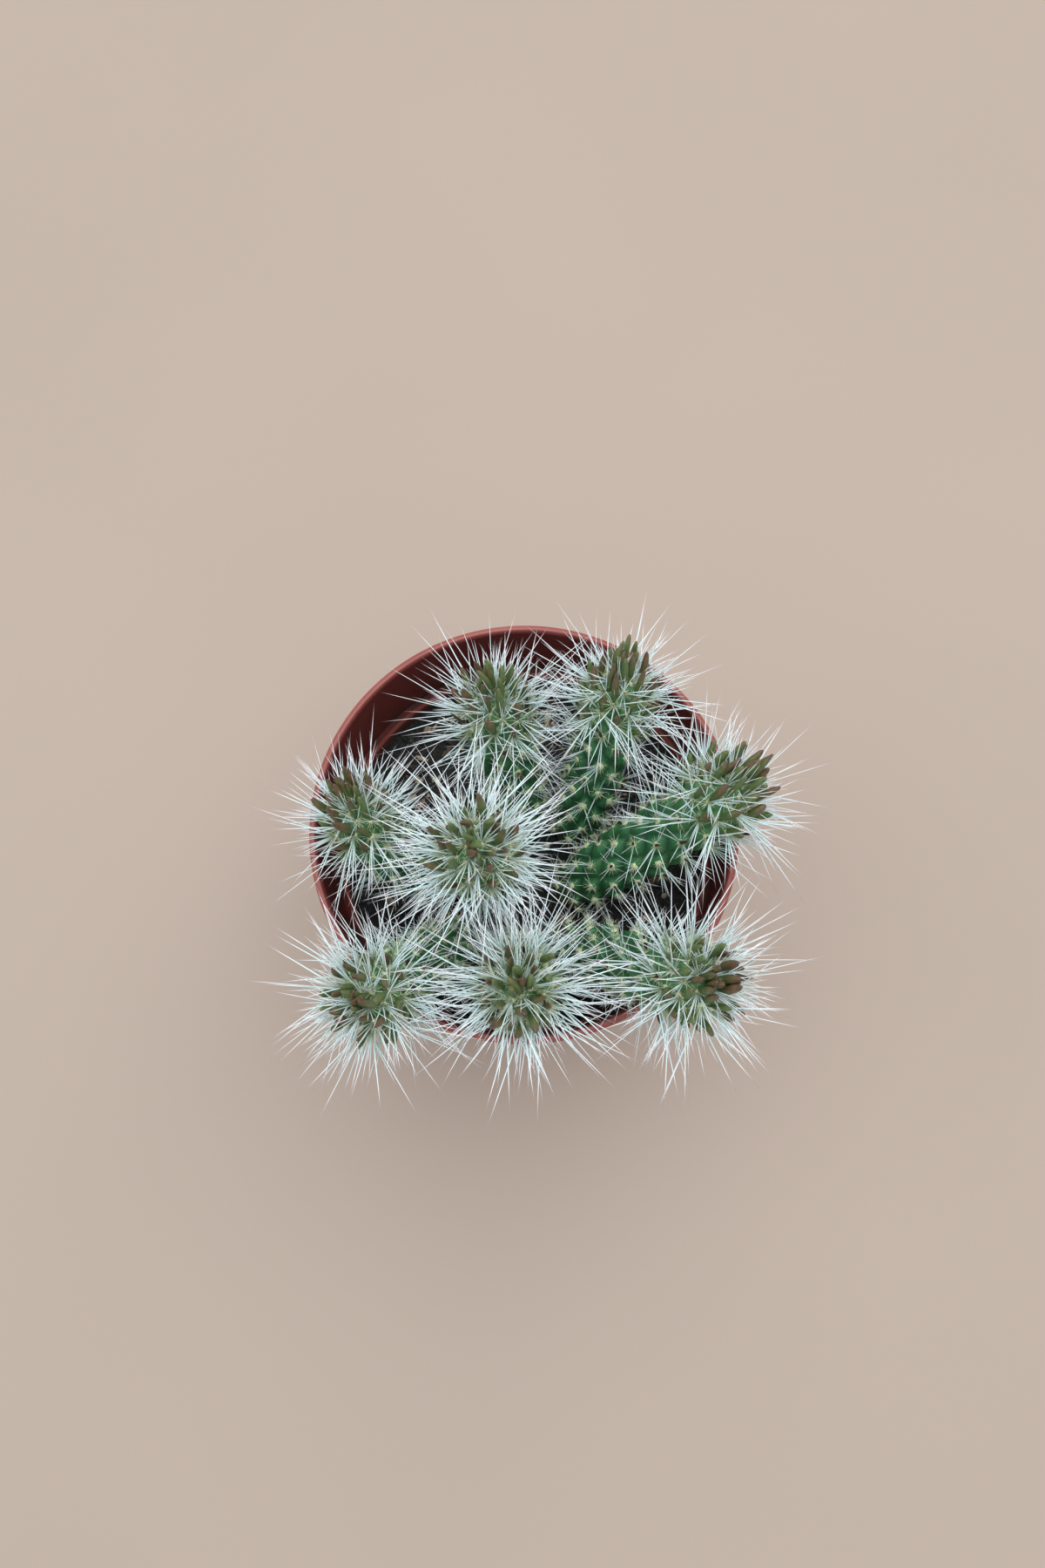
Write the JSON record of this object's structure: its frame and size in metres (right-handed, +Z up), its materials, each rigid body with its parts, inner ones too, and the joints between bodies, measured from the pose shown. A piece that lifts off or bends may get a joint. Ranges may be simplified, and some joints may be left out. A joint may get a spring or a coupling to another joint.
{
  "type": "potted cholla",
  "caption": "Young cholla with leaning cylindrical stems, spiral tubercles, dense white spines and leaf tufts, in the soil of a round nursery pot.",
  "frame": {"origin": "centre of the pot's flat underside, on the surface that it stands on", "axes": "+Z up through the middle of the pot; +X to the right and +Y to the back as the plant is seen from its front"},
  "size_m": [0.1383, 0.1248, 0.1544],
  "materials": {
    "pot_plastic": "satin",
    "potting_soil": "matte",
    "stem_green": "satin"
  },
  "bodies": {
    "root": {"pot": "pot_plastic", "soil": "potting_soil", "stem_back_left": "stem_green", "stem_back_right": "stem_green", "stem_right": "stem_green", "stem_left": "stem_green", "stem_centre": "stem_green", "stem_front_left": "stem_green", "stem_front": "stem_green", "stem_front_right": "stem_green"}
  },
  "joints": []
}
